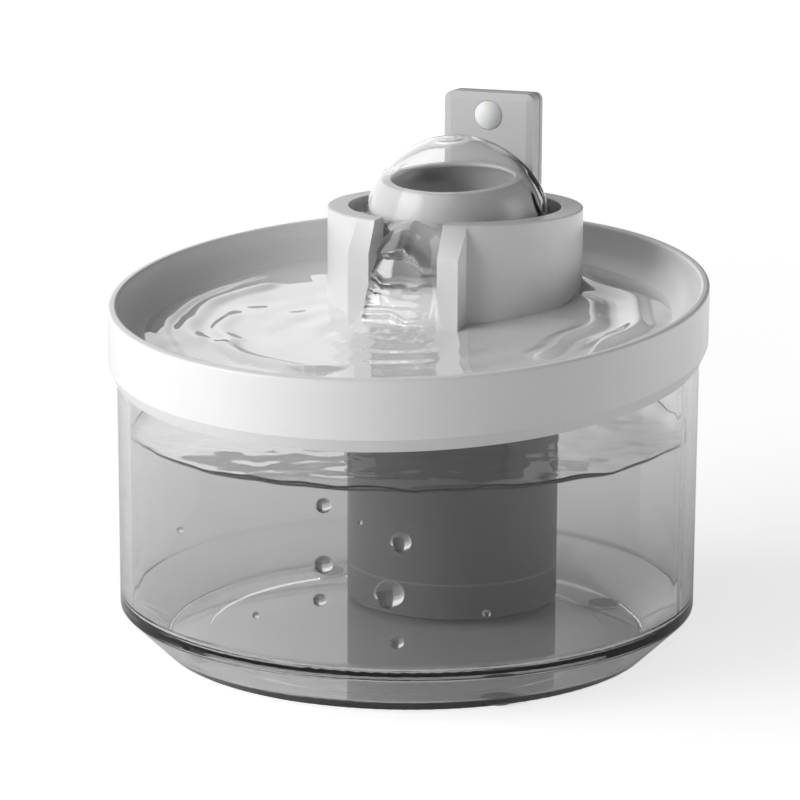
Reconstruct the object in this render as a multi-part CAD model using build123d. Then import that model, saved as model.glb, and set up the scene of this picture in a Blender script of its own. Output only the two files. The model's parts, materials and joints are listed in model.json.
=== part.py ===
from build123d import *
import os
from math import atan, cos, sin, sqrt

# Pet water fountain, in millimetres. +Z is up, the drinking side faces -Y, and the origin is
# on the tank's axis at the surface it stands on. The tray leans down towards the drinking side:
# its rim, floor and seat are parallel planes that fall by tray_slope for each millimetre of -Y.
# Collar, nozzle, pump and filter tower share one upright axis behind the tank's own.

# Fits
gap = 0.4               # radial room between pieces that lift or turn in each other
seat = 0.3              # running room over and under pieces that turn
slip = 0.15             # assembly room between pieces of one body
press_room = 0.02       # shaft in its bushes
shaft_play = 0.05       # impeller on its shaft
merge = 0.5             # how far two forms of one piece reach into each other
over = 1.0              # how far a cutting form runs past what it cuts
far = 400.0             # past every face of the part

# Tank
tank_radius = 95.0
tank_wall = 4.0
tank_floor = 5.0        # height of the inside floor
corner_height = 14.5    # where the upright wall meets the tapered foot
corner_round = 1.2
foot_taper = 14.0       # how far the tapered foot draws in
taper_wall = 4.8
inside_round = 3.0
base_recess = 0.8
recess_inset = 2.7      # recess under the floor, inside the pads
pad_radius = 5.5
pad_standing = 0.8      # how far the pads stand out below the tank
pad_depth = 1.2         # how deep the pads sit in the tank
pad_inset = 7.0         # pads inside the edge of the foot
pad_count = 4
pad_chamfer = 0.4

# Tray
tray_slope = 0.1086
band_wall = 2.4         # band outside the tank's wall
rim_height = 118.5      # rim plane at the tank's axis
band_height = 22.5
band_chamfer = 1.9      # taper of the band's lower edge, across
band_taper = 4.2        # and up
lip_width = 2.8
lip_round = 0.9
bowl_depth = 12.0       # rim plane down to the floor
bowl_inset = 13.3       # from the band's outside in to the foot of the bowl's wall
wall_hollow = 2.0       # how far the bowl's wall bows outwards
floor_thick = 2.6
seat_depth = 12.0       # rim plane down to the tank's top edge
drain_count = 5
drain_inset = 4.0       # drains inside the foot of the bowl's wall
drain_width = 3.0
drain_span = 11.0       # degrees along the ring
drain_pitch = 17.0      # degrees from slot to slot

# Flow collar
collar_radius = 43.0
collar_wall = 7.4
collar_room = 0.6       # from the collar's rear to the foot of the bowl's wall
collar_round = 0.6
cup_drop = 0.9          # from the rim plane at the tank's axis down to the cup's floor
cup_depth = 22.3
cup_thick = 2.6
spout_gap = 24.0
jamb_width = 7.3
jamb_ahead = 3.0        # how far the jambs stand out in front of the collar
shoulder_drop = 10.4    # height of their 45 degree slope
sill_inset = 0.4        # spout's sill behind the front of the jambs
sill_drop = 9.6
spigot_inset = 1.7
spigot_wall = 2.5
spigot_length = 33.6
lug_count = 3
lug_angle = 12.0        # degrees that one lug covers
lug_height = 3.6
lug_rise = 1.0          # lugs above the spigot's lower end
lug_reach = 2.1
unlock_angle = 20.0     # turn that frees the filter tower
slot_room = 1.0         # degrees on either side of a lug in its slot
seal_inset = 1.4
seal_width = 1.2
seal_high = 1.2
screw_count = 4
screw_inset = 3.0       # screws outside the collar's bore
screw_radius = 1.5
screw_bite = 6.0
screw_room = 1.0        # empty end of a screw's hole
head_radius = 2.7
head_high = 1.8
recess_share = 0.6      # reach of the cross recess, as a share of the head's radius
recess_slim = 0.13      # and half its width

# Nozzle
ball_room = 0.5         # between the ball and the sensor post's front
ball_rise = 15.4        # ball's middle above the cup's floor
ball_wall = 3.6
nozzle_rise = 10.1      # nozzle's rim over the collar's, on their axis
nozzle_round = 0.8
boss_high = 3.4
boss_wall = 2.0
diffuser_thick = 1.6
diffuser_rim = 6.4      # from the last row of holes to the edge
hole_web = 3.4          # plate left between two rows of holes
row_count = 2
first_row_count = 6

# Filter tower
tower_wall = 2.0
tower_lip = 2.0         # shell above the bayonet's lugs
tab_angle = -38.0       # thumb tab to twist the tower by, degrees from +X
tab_width = 5.4
tab_reach = 3.6
tab_high = 16.0
tab_round = 1.2
base_high = 12.2
base_chamfer = 0.8
base_collar = 4.5       # how far the base reaches up inside the shell
intake_count = 13
intake_pitch = 13.0     # degrees
intake_width = 2.6
intake_high = 4.4
cartridge_wall = 1.4
grille_count = 14
grille_width = 2.2
grille_inner = 9.0
grille_outer = 29.0
foam_room = 0.3

# Pump
outlet_drop = 30.6      # from the cup's floor down to the pump's outlet
outlet_rise = 21.0      # from the impeller's axis, which lies along X, up to the outlet
pump_room = 6.0         # between the filter cartridge and the pump
pump_shift = -6.0       # impeller axis ahead of the tower's axis
chamber_radius = 13.0
chamber_wall = 2.0
chamber_half = 8.0
chamber_back = 1.6
motor_room = 2.2        # between the motor's corner and the tower's bore
motor_back = 4.7        # resin behind the far bush
motor_width = 24.0
motor_high = 26.0
motor_round = 3.0
cover_length = 10.0
cover_wall = 1.6
cover_slots = 12
cover_slot_width = 2.0
eye_count = 6
eye_radius = 1.7
eye_ring = 5.6
outlet_radius = 8.0
outlet_bore = 6.0
riser_wall = 2.0
riser_grip = 7.6        # how far the riser's bell end covers the outlet
outlet_seal_high = 1.2
rotor_radius = 5.6
rotor_room = 0.5
impeller_radius = 9.5
impeller_half = 3.6
impeller_disc = 1.2
blade_count = 6
blade_thick = 1.2
hub_radius = 3.0
shaft_radius = 1.2
bush_radius = 2.6
bush_length = 2.4
lead_radius = 1.2
lead_room = 0.3
lead_bend = 4.0
lead_x = 15.0
lead_turn = 12.0
lead_join = 25.0
lead_drop = 11.6        # from the cup's floor down to the lead's level run

# Sensor post
post_width = 32.6
post_inset = 5.6        # post's front face inside the collar's bore
post_depth = 10.4
post_high = 34.6
post_wall = 2.0
post_bevel = 2.5        # shallow bevel round the front face, across
post_bevel_depth = 0.5
post_corner = 2.8
pad_drop = 10.0         # depth of the block that carries the post
cover_depth = 3.2
cover_round = 1.0
gasket_thick = 0.8
lens_radius = 5.0
lens_drop = 7.8         # from the post's top
lens_bulge = 2.2
lens_skin = 1.0
lens_flange = 0.9       # flange behind the post's front wall
flange_reach = 0.6
board_thick = 1.2
board_half = 9.0
can_radius = 3.4
inlet_width = 9.0
inlet_high = 3.2
inlet_wall = 0.5
inlet_rise = 8.6        # above the collar's top
inlet_sink = 0.3        # inlet's rim inside the rear cover
tongue_inset = 1.4
tongue_thick = 0.7
post_screw_radius = 1.0
post_screw_head = 1.6
post_screw_high = 1.0
post_screw_length = 6.0
screw_sink = 1.2
boss_radius = 2.2
boss_inset = 3.6

# Values that follow
tilt = atan(tray_slope)
foot_radius = tank_radius - foot_taper
pad_ring = foot_radius - pad_inset
tray_radius = tank_radius + gap + band_wall
bowl_foot = tray_radius - bowl_inset
drain_ring = bowl_foot - drain_inset
axis_y = bowl_foot - collar_room - collar_radius
collar_bore = collar_radius - collar_wall
cup_floor = rim_height - cup_drop
collar_top = cup_floor + cup_depth
jamb_reach = collar_radius + jamb_ahead
jamb_shoulder = collar_top - shoulder_drop
spigot_radius = collar_bore - spigot_inset
spigot_low = cup_floor - spigot_length
lug_low = spigot_low + lug_rise
seal_ring = collar_radius - seal_inset
screw_ring = collar_bore + screw_inset
post_front = collar_bore - post_inset
post_top = collar_top + post_high
lens_height = post_top - lens_drop
inlet_height = collar_top + inlet_rise
ball_radius = post_front - ball_room
ball_height = cup_floor + ball_rise
nozzle_top = collar_top + nozzle_rise
tower_bore = spigot_radius + gap
tower_radius = tower_bore + tower_wall
tower_top = lug_low + lug_height + tower_lip
outlet_top = cup_floor - outlet_drop
pump_height = outlet_top - outlet_rise
riser_low = outlet_top - riser_grip
lead_level = cup_floor - lead_drop
floor_height = rim_height - bowl_depth
under_height = floor_height - floor_thick
pad_top = pad_standing + pad_depth
tower_low = tank_floor + seat
base_top = tower_low + base_high
collar_reach = tower_bore - slip              # outside of the base's collar
cartridge_low = base_top + base_collar
cartridge_top = pump_height - chamber_radius - pump_room
ball_inner = ball_radius - ball_wall
boss_outer = sqrt(ball_inner ** 2 - ball_rise ** 2) - gap
boss_top = cup_floor + boss_high
row_pitch = (boss_outer - diffuser_rim) / row_count
hole_radius = (row_pitch - hole_web) / 2
riser_radius = outlet_radius + slip + riser_wall
seal_top = outlet_top + outlet_seal_high
bore_play = shaft_radius + shaft_play
motor_end = sqrt(tower_bore ** 2 - (motor_width / 2 - pump_shift) ** 2) - motor_room
well_end = motor_end - motor_back - bush_length
rotor_end = well_end - seat
shell_back = post_front + post_depth - cover_depth - gasket_thick
cover_front = shell_back + gasket_thick
post_back = post_front + post_depth
screw_tip = post_back - screw_sink - post_screw_length
board_front = shell_back - cover_depth / 2 - board_thick
board_back = board_front + board_thick
lead_y = board_back + lead_radius


def slanted(height, y=0.0):
    # plane parallel to the rim that passes through (0, y) at this height
    return Plane(origin=(0, y, height), x_dir=(1, 0, 0), z_dir=(0, -sin(tilt), cos(tilt)))


def above(shape, plane):
    return split(shape, bisect_by=plane, keep=Keep.TOP)


def below(shape, plane):
    return split(shape, bisect_by=plane, keep=Keep.BOTTOM)


def upright(radius, low, high):
    return Pos(0, 0, low) * Cylinder(
        radius, high - low, align=(Align.CENTER, Align.CENTER, Align.MIN))


def ring(outer, inner, low, high):
    return upright(outer, low, high) - upright(inner, low - over, high + over)


def lying(radius, low, high):
    # cylinder along X
    return Pos(low, 0, 0) * Rot(0, 90, 0) * Cylinder(
        radius, high - low, align=(Align.CENTER, Align.CENTER, Align.MIN))


def facing(radius, low, high):
    # cylinder along Y
    return Pos(0, low, 0) * Rot(-90, 0, 0) * Cylinder(
        radius, high - low, align=(Align.CENTER, Align.CENTER, Align.MIN))


def block(x, y, z):
    # box from its three (low, high) ranges
    size = [high - low for low, high in (x, y, z)]
    middle = [(high + low) / 2 for low, high in (x, y, z)]
    return Pos(*middle) * Box(*size)


def turned(outline):
    # solid of revolution about Z of a closed (radius, height) outline
    return revolve(make_face(Plane.XZ * outline), Axis.Z)


def sector(outer, inner, low, high, middle, span):
    # part of a ring, by its middle angle and its span in degrees
    wedge = Cylinder(outer, high - low, arc_size=span,
                     align=(Align.NONE, Align.NONE, Align.MIN))
    piece = Pos(0, 0, low) * wedge - upright(inner, low - over, high + over)
    return Rot(0, 0, middle - span / 2) * piece


def around(count, radius, start=0.0):
    # places evenly spaced on a circle
    return [Rot(0, 0, start + i * 360 / count) * Pos(radius, 0, 0) for i in range(count)]


def on_axis(shape):
    # from the collar's own axis to its place behind the tank's axis
    return Pos(0, axis_y, 0) * shape


def on_pump(shape):
    # from the impeller's own axis to its place inside the tower
    return Pos(0, axis_y + pump_shift, pump_height) * shape


def circles(shape):
    return shape.edges().filter_by(GeomType.CIRCLE).sort_by(Axis.Z)


# Tank

def tank():
    inner = tank_radius - tank_wall
    foot_inner = foot_radius - taper_wall * sqrt(2) + tank_floor - pad_standing
    inner_corner = tank_floor + inner - foot_inner
    top = rim_height + tray_radius * tray_slope
    outside = Polyline((0, pad_standing), (foot_radius, pad_standing), (tank_radius, corner_height),
                       (tank_radius, top), (0, top), close=True)
    inside = Polyline((0, tank_floor), (foot_inner, tank_floor), (inner, inner_corner),
                      (inner, top + over), (0, top + over), close=True)
    shell = turned(outside)
    shell = fillet(circles(shell)[:2], corner_round)
    hollow = turned(inside)
    shell -= fillet(circles(hollow)[:2], inside_round)
    shell -= upright(pad_ring - pad_radius - recess_inset, 0, pad_standing + base_recess)
    for place in around(pad_count, pad_ring, 45):
        shell -= place * upright(pad_radius + slip, 0, pad_top)
    return below(shell, slanted(rim_height - seat_depth))


def foot_pads():
    pad = upright(pad_radius, 0, pad_top)
    pad = chamfer(circles(pad)[0], pad_chamfer)
    return Compound([place * pad for place in around(pad_count, pad_ring, 45)])


# Tray

def bowl():
    # the space that the water lies in, turned about the tray's own leaning axis
    lip = tray_radius - lip_width
    bend = ((bowl_foot + lip) / 2 + wall_hollow, -bowl_depth / 2 - wall_hollow)
    wall = ThreePointArc((bowl_foot, -bowl_depth), bend, (lip, 0))
    rest = Polyline((lip, 0), (lip, bowl_depth), (0, bowl_depth), (0, -bowl_depth),
                    (bowl_foot, -bowl_depth))
    return slanted(rim_height) * revolve(make_face(Plane.XZ * (wall + rest)), Axis.Z)


def screw_places():
    # the collar's screws stand square to the leaning floor
    height = floor_height + tray_slope * axis_y
    return [slanted(height, axis_y) * Rot(0, 0, 45 + i * 360 / screw_count)
            * Pos(screw_ring, 0, 0) for i in range(screw_count)]


def drinking_tray():
    band = upright(tray_radius, 0, far)
    band = above(below(band, slanted(rim_height)), slanted(rim_height - band_height))
    rims = band.edges().filter_by(GeomType.ELLIPSE).sort_by(Axis.Z)
    band = chamfer(rims[0], band_taper, band_chamfer)
    tray = band - bowl()
    lip = tray.edges().filter_by_position(Axis.Z, rim_height - tray_radius * tray_slope - over, far)
    lip = lip.filter_by(lambda edge: edge.length > 6 * tray_radius - 6 * lip_width - lip_width)
    tray = fillet(lip, lip_round)
    skirt = tank_radius + gap
    tray -= below(upright(skirt, 0, far / 2), slanted(under_height))
    groove = ring(skirt, tank_radius - tank_wall - gap, 0, far / 2)
    tray -= below(groove, slanted(rim_height - seat_depth))
    tray -= on_axis(upright(spigot_radius + slip, 0, far))
    for i in range(drain_count):
        angle = -90 + (i - (drain_count - 1) / 2) * drain_pitch
        tray -= sector(drain_ring + drain_width / 2, drain_ring - drain_width / 2,
                       under_height - tray_radius * tray_slope - over, floor_height, angle,
                       drain_span)
    for place in screw_places():
        tray -= place * upright(screw_radius + slip, -2 * floor_thick, floor_thick)
    tray -= on_axis(Pos(0, lead_y, 0) * upright(lead_radius + lead_room, lead_level, collar_top))
    return tray


# Flow collar

def jamb():
    # side of the spout: upright front, then a 45 degree shoulder up to the ring
    slope = collar_top - jamb_shoulder
    outline = Polyline((-jamb_reach, spigot_low), (-jamb_reach, jamb_shoulder),
                       (-jamb_reach + slope, collar_top), (-collar_bore / 2, collar_top),
                       (-collar_bore / 2, spigot_low), close=True)
    plate = extrude(make_face(Plane.YZ * outline), jamb_width, dir=(1, 0, 0))
    return Pos(spout_gap / 2, 0, 0) * plate - upright(collar_bore, spigot_low, far)


def spout_sill():
    # curved crest that carries the stream from the cup down to the tray's floor
    start = -collar_bore
    front = -jamb_reach + sill_inset
    low = cup_floor - sill_drop
    crest = TangentArc((start, cup_floor), (front, low), tangent=(-1, 0))
    sides = Polyline((front, low), (front, spigot_low), (start + over, spigot_low),
                     (start + over, cup_floor), (start, cup_floor))
    sill = extrude(make_face(Plane.YZ * (crest + sides)), spout_gap, dir=(1, 0, 0))
    return Pos(-spout_gap / 2, 0, 0) * sill


def post_pad():
    # block inside the collar's rear wall that carries the sensor post
    front = post_front + seat
    low = collar_top - pad_drop
    pad = block((-post_width / 2, post_width / 2), (front, collar_bore + merge), (low, collar_top))
    lower = pad.edges().filter_by(Axis.X).group_by(Axis.Z)[0].sort_by(Axis.Y)[0]
    return chamfer(lower, collar_bore - front)


def lugs():
    return [sector(spigot_radius + lug_reach, spigot_radius - spigot_wall / 2, lug_low,
                   lug_low + lug_height, i * 360 / lug_count, lug_angle) for i in range(lug_count)]


def flow_collar():
    wall = ring(collar_radius, collar_bore, spigot_low, collar_top)
    side = jamb()
    wall += [side, mirror(side, Plane.YZ)]
    wall -= block((-spout_gap / 2, spout_gap / 2), (-far, -collar_bore / 2), (spigot_low, far))
    wall += spout_sill()
    tops = wall.faces().sort_by(Axis.Z)[-1].edges().filter_by(GeomType.CIRCLE)
    wall = fillet(tops, collar_round)
    collar = above(on_axis(wall), slanted(floor_height))
    cup = upright(collar_bore + merge, cup_floor - cup_thick, cup_floor)
    cup += ring(boss_outer, boss_outer - boss_wall, cup_floor - merge, boss_top)
    cup += ring(spigot_radius, spigot_radius - spigot_wall, spigot_low, cup_floor - merge)
    collar += on_axis(cup)
    for piece in (post_pad(), *lugs()):
        collar += on_axis(piece)
    collar -= on_axis(upright(riser_radius + slip, spigot_low, cup_floor + over))
    collar -= seal_space(slip)
    for place in screw_places():
        collar -= place * upright(screw_radius + slip, -over, screw_bite)
    collar -= on_axis(Pos(0, lead_y, 0) * upright(lead_radius + lead_room, spigot_low, far))
    collar -= on_axis(Pos(0, 0, lead_level) * facing(lead_radius + lead_room, riser_radius, far))
    return collar


def seal_space(room=0.0):
    # ring between the collar's foot and the tray's floor
    loop = ring(seal_ring + seal_width / 2 + room, seal_ring - seal_width / 2 - room,
                spigot_low, far)
    loop = above(on_axis(loop), slanted(floor_height))
    return below(loop, slanted(floor_height + seal_high))


def collar_seal():
    return seal_space()


def screw(radius, length, head, high):
    # shank up from the origin, head below it with a cross recess
    body = upright(radius, 0, length) + upright(head, -high, 0)
    for turn in (0, 90):
        body -= Rot(0, 0, turn) * block((-head * recess_share, head * recess_share),
                                        (-head * recess_slim, head * recess_slim),
                                        (-high - over, -high / 2))
    return body


def collar_screws():
    piece = screw(screw_radius, floor_thick + screw_bite - screw_room, head_radius, head_high)
    return Compound([place * Pos(0, 0, -floor_thick) * piece for place in screw_places()])


# Nozzle

def nozzle_cap():
    # barrel of a ball, open at both ends, its upper rim parallel to the tray's
    ball = Sphere(ball_radius) - Sphere(ball_inner)
    ball = on_axis(Pos(0, 0, ball_height) * ball)
    ball = below(ball, slanted(nozzle_top, axis_y))
    ball = above(ball, Plane.XY.offset(cup_floor))
    rims = ball.faces().sort_by(Axis.Z)[-1].edges()
    return fillet(rims, nozzle_round)


def flow_diffuser():
    plate = upright(boss_outer, boss_top, boss_top + diffuser_thick)
    hole = upright(hole_radius, boss_top - over, far)
    plate -= hole
    for row in range(1, row_count + 1):
        for place in around(first_row_count * row, row * row_pitch):
            plate -= place * hole
    return on_axis(plate)


def riser_tube():
    # bell end over the pump's outlet, then up to the floor of the cup
    tube = upright(riser_radius, riser_low, cup_floor)
    tube -= upright(outlet_radius + slip, riser_low - over, seal_top)
    tube -= upright(outlet_bore, riser_low, far)
    return on_axis(tube)


def outlet_seal():
    return on_axis(ring(outlet_radius, outlet_bore + slip, outlet_top, seal_top))


# Pump

def pump_housing():
    inner = chamber_radius - chamber_wall
    body = lying(chamber_radius, -chamber_half, chamber_half)
    outlet = Pos(0, -pump_shift, 0) * upright(outlet_radius, 0, outlet_top - pump_height)
    body += outlet
    body -= lying(inner, -chamber_half - over, chamber_half - chamber_back)
    body -= lying(rotor_radius + rotor_room, 0, chamber_half + over)
    body -= Pos(0, -pump_shift, 0) * upright(outlet_bore, 0, far)
    back = lying(chamber_radius, chamber_half, motor_end)
    return on_pump(body - back)


def motor_block():
    # potted coil round the rotor's well
    half = motor_width / 2
    body = block((chamber_half, motor_end), (-half, half), (-motor_high / 2, motor_high / 2))
    body = fillet(body.edges().filter_by(Axis.X), motor_round)
    body -= lying(rotor_radius + rotor_room, 0, well_end)
    body -= lying(bush_radius, 0, well_end + bush_length)
    return on_pump(body)


def cover_eyes():
    return [Rot(i * 360 / eye_count, 0, 0) * Pos(0, 0, eye_ring)
            * lying(eye_radius, -far, far) for i in range(eye_count)]


def pump_cover():
    # slotted drum that strains the water ahead of the impeller's eye
    outer = -chamber_half - cover_length
    drum = lying(chamber_radius, outer, -chamber_half)
    drum -= lying(chamber_radius - cover_wall, outer + cover_wall, -chamber_half - bush_length)
    drum -= lying(bush_radius, -chamber_half - bush_length, 0)
    plate = lying(chamber_radius, outer + cover_wall, -chamber_half + over)
    for hole in cover_eyes():
        drum -= hole & plate
    slot = block((outer + 2 * cover_wall, -chamber_half - bush_length - cover_wall),
                 (-cover_slot_width / 2, cover_slot_width / 2), (hub_radius, far))
    for i in range(cover_slots):
        drum -= Rot(i * 360 / cover_slots, 0, 0) * slot
    return on_pump(drum)


def impeller():
    wheel = lying(hub_radius, -chamber_half + seat, impeller_half)
    wheel += lying(impeller_radius, impeller_half - impeller_disc, impeller_half)
    blade = block((-impeller_half, impeller_half), (-blade_thick / 2, blade_thick / 2),
                  (hub_radius - merge, impeller_radius))
    wheel += [Rot(i * 360 / blade_count, 0, 0) * blade for i in range(blade_count)]
    return on_pump(wheel - lying(bore_play, -far, far))


def rotor_magnet():
    return on_pump(lying(rotor_radius, impeller_half, rotor_end) - lying(bore_play, 0, far))


def pump_shaft():
    return on_pump(lying(shaft_radius, -chamber_half - bush_length, well_end + bush_length))


def shaft_bushes():
    bush = lying(bush_radius, 0, bush_length) - lying(shaft_radius + press_room, -over, far)
    places = (-chamber_half - bush_length, well_end)
    return Compound([on_pump(Pos(x, 0, 0) * bush) for x in places])


def pump_lead():
    # from the coil up beside the riser, out under the tray and up into the sensor post
    top = pump_height + motor_high / 2
    route = FilletPolyline((lead_x, pump_shift, top), (lead_x, pump_shift, lead_level),
                           (lead_x, lead_turn, lead_level), (0, lead_join, lead_level),
                           (0, lead_y, lead_level),
                           (0, lead_y, inlet_height - inlet_high), radius=lead_bend)
    circle = Plane(origin=route @ 0, z_dir=route % 0) * Circle(lead_radius)
    return on_axis(sweep(circle, path=route))


# Filter tower

def thumb_tab():
    tab = block((tower_radius - tower_wall / 2, tower_radius + tab_reach),
                (-tab_width / 2, tab_width / 2), (tower_top - tab_high, tower_top))
    outer = tab.faces().sort_by(Axis.X)[-1]
    return Rot(0, 0, tab_angle) * fillet(outer.edges(), tab_round)


def tower_shell():
    # sleeve with a thumb tab, and three L-shaped slots for the collar's lugs
    shell = ring(tower_radius, tower_bore, base_top, tower_top) + thumb_tab()
    span = lug_angle + 2 * slot_room
    for i in range(lug_count):
        middle = i * 360 / lug_count
        low = lug_low - seat
        high = lug_low + lug_height + seat
        shell -= sector(far, tower_bore - over, low, high, middle - unlock_angle / 2,
                        span + unlock_angle)
        shell -= sector(far, tower_bore - over, low, far, middle - unlock_angle, span)
    return on_axis(shell)


def tower_base():
    # shallow cup with a collar that plugs into the shell, and its intake at the rear
    base = upright(tower_radius, tower_low, base_top)
    base += upright(collar_reach, base_top, cartridge_low)
    base -= upright(collar_reach - tower_wall, tower_low + tower_wall, far)
    base = chamfer(circles(base)[0], base_chamfer)
    slot = block((0, far), (-intake_width / 2, intake_width / 2),
                 (tower_low + tower_wall, tower_low + tower_wall + intake_high))
    for i in range(intake_count):
        turn = 90 + (i - (intake_count - 1) / 2) * intake_pitch
        base -= Rot(0, 0, turn) * slot
    return on_axis(base)


def foam_disc():
    radius = collar_reach - tower_wall - foam_room
    return on_axis(upright(radius, tower_low + tower_wall, cartridge_low))


def grille(plate):
    # radial slots through a flat plate
    slot = block((grille_inner, grille_outer), (-grille_width / 2, grille_width / 2), (-far, far))
    for i in range(grille_count):
        plate -= Rot(0, 0, i * 360 / grille_count) * slot
    return plate


def filter_cartridge():
    outer = tower_bore - gap
    cup = upright(outer, cartridge_low, cartridge_top - cartridge_wall)
    cup -= upright(outer - cartridge_wall, cartridge_low + cartridge_wall, far)
    return on_axis(grille(cup))


def cartridge_lid():
    lid = upright(tower_bore - gap, cartridge_top - cartridge_wall, cartridge_top)
    return on_axis(grille(lid))


def carbon_bed():
    radius = tower_bore - gap - cartridge_wall - slip
    return on_axis(upright(radius, cartridge_low + cartridge_wall, cartridge_top - cartridge_wall))


# Sensor post

def boss_places():
    x = post_width / 2 - boss_inset
    low = collar_top + boss_inset
    high = post_top - boss_inset
    return [(side * x, z) for side in (-1, 1) for z in (low, high)]


def post_outline(front, back):
    # upright slab of the post with its two upper corners rounded
    half = post_width / 2
    slab = block((-half, half), (front, back), (collar_top, post_top))
    corners = slab.edges().filter_by(Axis.Y).group_by(Axis.Z)[-1]
    return fillet(corners, post_corner)


def post_space(front, back, wall):
    half = post_width / 2 - wall
    return block((-half, half), (front, back), (collar_top + wall, post_top - wall))


def lead_hole():
    return Pos(0, lead_y, 0) * upright(lead_radius + lead_room, collar_top - over,
                                       collar_top + post_wall + over)


def post_shell():
    shell = post_outline(post_front, shell_back)
    face = shell.faces().sort_by(Axis.Y)[0]
    rim = [edge for edge in face.edges() if edge.center().Z > collar_top + over]
    shell = chamfer(rim, post_bevel, post_bevel_depth, reference=face)
    shell -= post_space(post_front + post_wall, far, post_wall)
    for x, z in boss_places():
        boss = Pos(x, 0, z) * facing(boss_radius, post_front + post_wall / 2, shell_back)
        shell += boss
        shell -= Pos(x, 0, z) * facing(post_screw_radius, screw_tip - slip, far)
    shell -= Pos(0, 0, lens_height) * facing(lens_radius + slip, 0, shell_back)
    return on_axis(shell - lead_hole())


def post_gasket():
    frame = post_outline(shell_back, cover_front)
    frame -= post_space(0, far, post_wall)
    return on_axis(frame - lead_hole())


def post_cover():
    cover = post_outline(cover_front, post_back)
    face = cover.faces().sort_by(Axis.Y)[-1]
    rim = [edge for edge in face.edges() if edge.center().Z > collar_top + over]
    cover = fillet(rim, cover_round)
    cover -= post_space(0, post_back - post_wall, post_wall)
    for x, z in boss_places():
        cover += Pos(x, 0, z) * facing(boss_radius, cover_front, post_back - post_wall / 2)
        cover -= Pos(x, 0, z) * facing(post_screw_radius + slip, 0, far)
        cover -= Pos(x, 0, z) * facing(post_screw_head + slip, post_back - screw_sink, far)
    cover -= inlet_form(slip, 0, far)
    return on_axis(cover - lead_hole())


def inlet_form(room, low, high):
    # flat opening with round ends, seen from behind
    width = inlet_width + 2 * room
    height = inlet_high + 2 * room
    outline = Plane.XZ * SlotOverall(width, height)
    return Pos(0, low, inlet_height) * extrude(outline, high - low, dir=(0, 1, 0))


def power_inlet():
    # metal shell on the board's back, with the contact tongue inside
    shell = inlet_form(0, board_back, post_back - inlet_sink)
    shell -= inlet_form(-inlet_wall, board_back + over, far)
    half = inlet_width / 2 - tongue_inset
    tongue = block((-half, half), (board_back, post_back - tongue_inset),
                   (inlet_height - tongue_thick / 2, inlet_height + tongue_thick / 2))
    return on_axis(shell + tongue)


def post_screws():
    piece = screw(post_screw_radius, post_screw_length, post_screw_head, post_screw_high)
    piece = Rot(90, 0, 0) * piece
    back = post_back - screw_sink
    return Compound([on_axis(Pos(x, back, z) * piece) for x, z in boss_places()])


def sensor_board():
    return on_axis(block((-board_half, board_half), (board_front, board_back),
                         (collar_top + post_wall + over, post_top - post_wall - over)))


def sensor_lens():
    # shallow dome whose flange lies behind the post's front wall
    flange = lens_radius + flange_reach
    flange_back = post_wall + lens_flange
    well = can_radius + slip
    dome = TangentArc((0, -lens_bulge), (lens_radius, 0), tangent=(1, 0))
    rest = Polyline((lens_radius, 0), (lens_radius, post_wall), (flange, post_wall),
                    (flange, flange_back), (well, flange_back), (well, lens_skin),
                    (0, lens_skin), (0, -lens_bulge))
    body = revolve(make_face(Plane.XZ * (dome + rest)), Axis.Z)
    return on_axis(Pos(0, post_front, lens_height) * Rot(-90, 0, 0) * body)


def motion_sensor():
    can = facing(can_radius, post_front + lens_skin + slip, board_front)
    return on_axis(Pos(0, 0, lens_height) * can)


makers = (
    tank, foot_pads, drinking_tray, flow_collar, collar_seal, collar_screws, nozzle_cap,
    flow_diffuser, riser_tube, outlet_seal, pump_housing, motor_block, pump_cover, impeller,
    rotor_magnet, pump_shaft, shaft_bushes, pump_lead, tower_shell, tower_base, foam_disc,
    filter_cartridge, cartridge_lid, carbon_bed, post_shell, post_gasket, post_cover,
    power_inlet, post_screws, sensor_board, sensor_lens, motion_sensor)

os.makedirs("parts", exist_ok=True)
for make in makers:
    export_step(make(), f"parts/{make.__name__}.step")
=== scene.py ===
import bpy
import bmesh
import json
import math
from mathutils import Matrix, Vector, noise


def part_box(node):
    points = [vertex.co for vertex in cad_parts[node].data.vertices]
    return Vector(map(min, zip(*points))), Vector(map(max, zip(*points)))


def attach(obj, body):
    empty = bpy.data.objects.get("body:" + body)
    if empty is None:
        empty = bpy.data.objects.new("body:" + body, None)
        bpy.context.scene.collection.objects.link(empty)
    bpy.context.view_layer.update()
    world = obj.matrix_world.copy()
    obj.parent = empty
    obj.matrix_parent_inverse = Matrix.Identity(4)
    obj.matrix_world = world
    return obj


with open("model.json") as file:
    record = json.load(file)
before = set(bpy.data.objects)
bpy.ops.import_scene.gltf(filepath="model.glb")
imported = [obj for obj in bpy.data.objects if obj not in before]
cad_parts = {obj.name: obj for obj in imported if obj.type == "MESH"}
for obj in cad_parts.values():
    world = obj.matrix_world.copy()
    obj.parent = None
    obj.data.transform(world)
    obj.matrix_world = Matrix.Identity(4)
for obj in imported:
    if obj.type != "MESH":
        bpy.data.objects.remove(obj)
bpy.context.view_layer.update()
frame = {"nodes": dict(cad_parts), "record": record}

# pet water fountain: finishes for its solids, and the water in its tank, on its tray and in its nozzle

nodes = frame["nodes"]
mm = 0.001


def boxInMm(name):
    low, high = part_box(name)
    return low / mm, high / mm


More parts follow.
